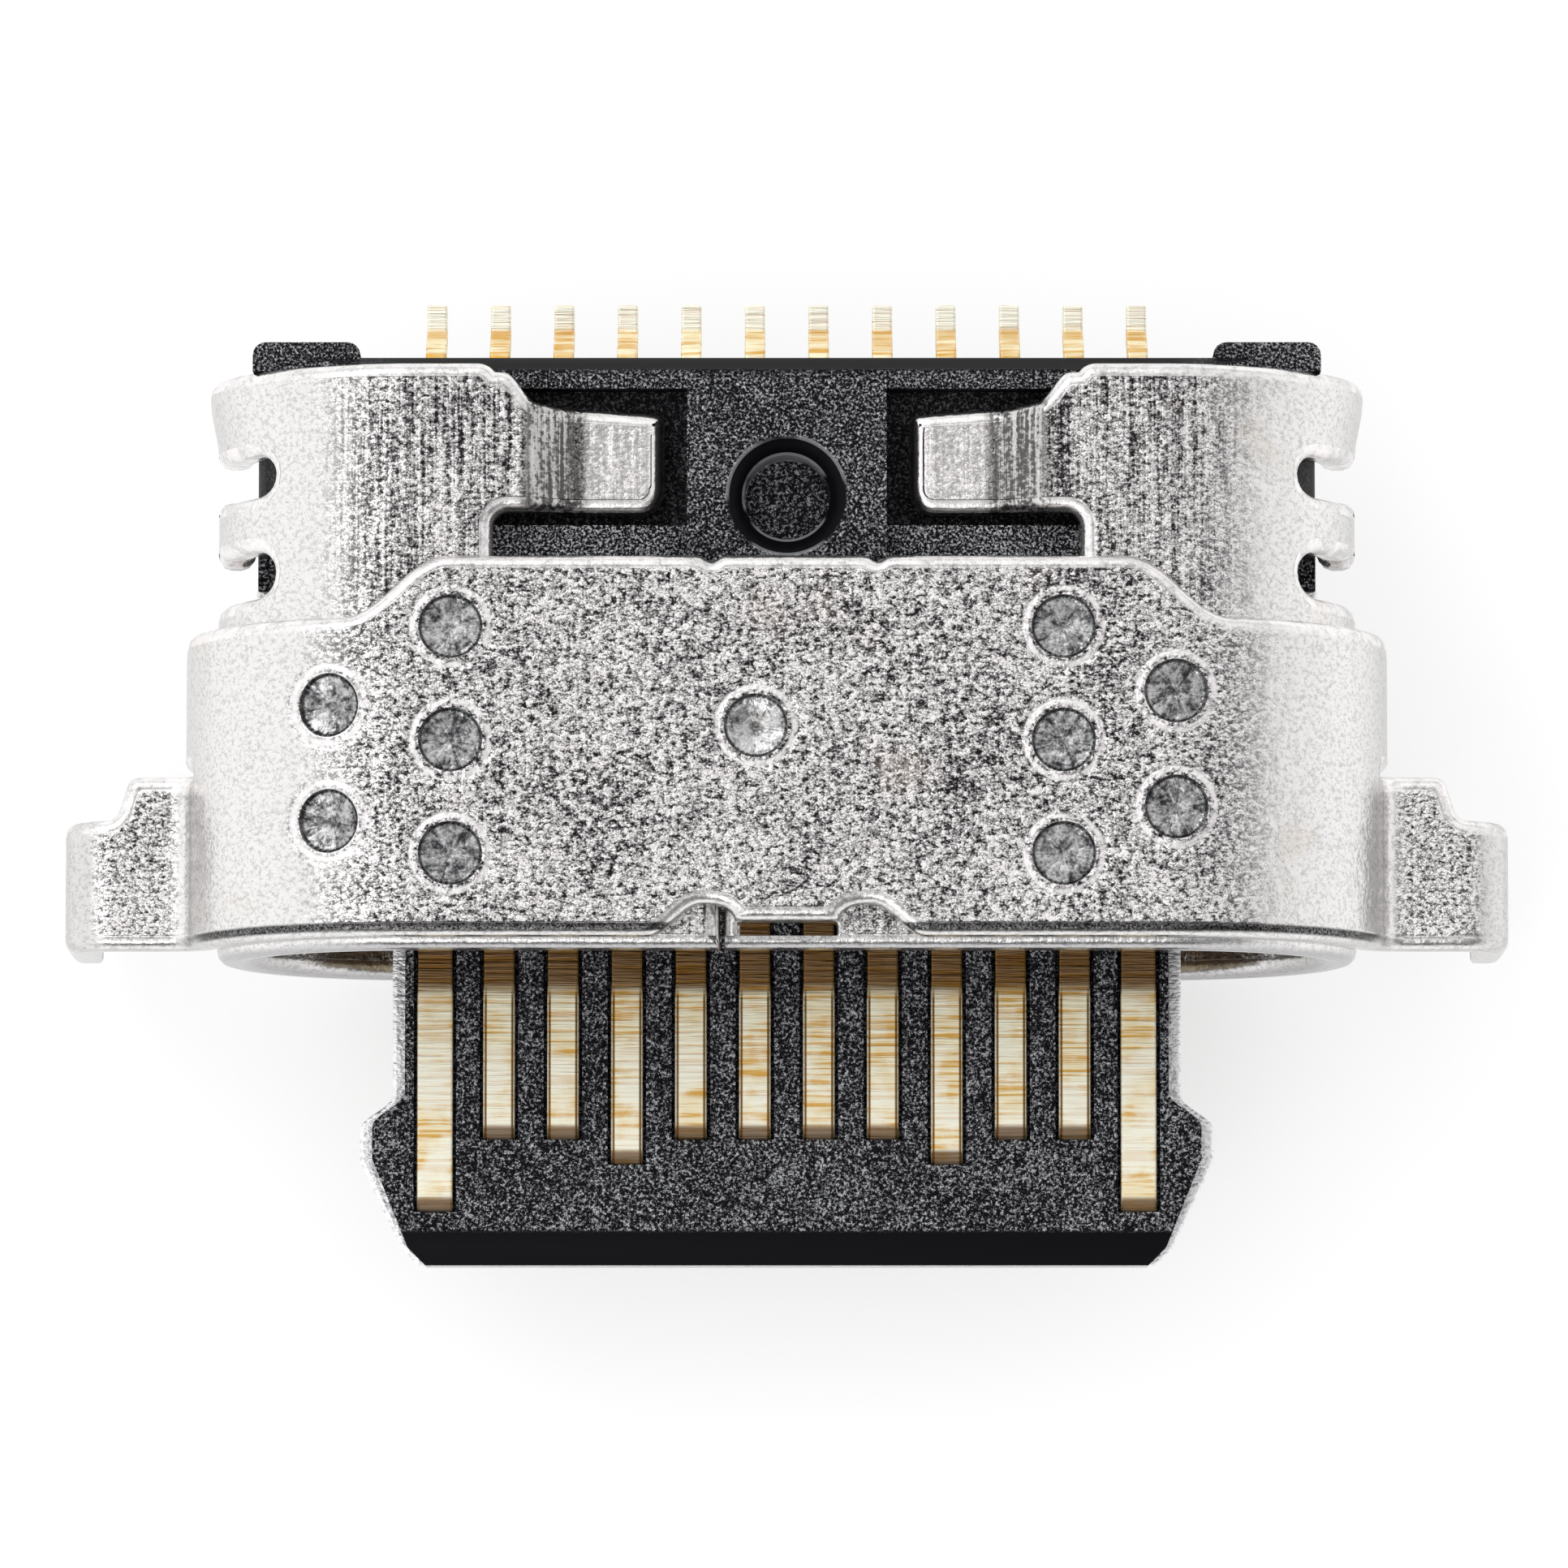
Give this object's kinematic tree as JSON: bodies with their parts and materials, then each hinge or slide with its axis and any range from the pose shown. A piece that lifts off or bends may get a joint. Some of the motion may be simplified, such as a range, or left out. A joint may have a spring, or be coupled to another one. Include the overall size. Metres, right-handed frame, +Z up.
{
  "type": "usb-c socket",
  "caption": "Board-mounted reversible plug socket: short nickel-plated shell that sinks into a board cut-out, open black tongue with gold contacts, winged solder legs and rear solder tails.",
  "frame": {"origin": "on the plug axis, in the plane of the shell's mouth", "axes": "+X to the right across the mouth, +Y back towards the solder tails, +Z up, away from the board; the plug goes in along +Y"},
  "size_m": [0.0114, 0.0076, 0.0034],
  "materials": {
    "shell_steel": "bright nickel plate on rolled steel sheet, fine sparkling grain",
    "cover_steel": "bright nickel plate on pressed steel sheet, fine sparkling grain",
    "housing_black": "glass-filled moulding, fine pale speckle",
    "wafer_black": "glass-filled moulding",
    "plate_steel": "bare stamped steel, fine cross lines on the edges",
    "pad_steel": "bare stamped steel",
    "contact_gold": "gold flash on copper alloy strip, fine cross lines"
  },
  "bodies": {
    "root": {"inner_shell": "shell_steel", "outer_cover": "cover_steel", "housing": "housing_black", "upper_wafer": "wafer_black", "lower_wafer": "wafer_black", "mid_plate": "plate_steel", "upper_ground_pad": "pad_steel", "lower_ground_pad": "pad_steel", "upper_contact_01": "contact_gold", "upper_contact_02": "contact_gold", "upper_contact_03": "contact_gold", "upper_contact_04": "contact_gold", "upper_contact_05": "contact_gold", "upper_contact_06": "contact_gold", "upper_contact_07": "contact_gold", "upper_contact_08": "contact_gold", "upper_contact_09": "contact_gold", "upper_contact_10": "contact_gold", "upper_contact_11": "contact_gold", "upper_contact_12": "contact_gold", "lower_contact_01": "contact_gold", "lower_contact_02": "contact_gold", "lower_contact_03": "contact_gold", "lower_contact_04": "contact_gold", "lower_contact_05": "contact_gold", "lower_contact_06": "contact_gold", "lower_contact_07": "contact_gold", "lower_contact_08": "contact_gold", "lower_contact_09": "contact_gold", "lower_contact_10": "contact_gold", "lower_contact_11": "contact_gold", "lower_contact_12": "contact_gold"}
  },
  "joints": []
}
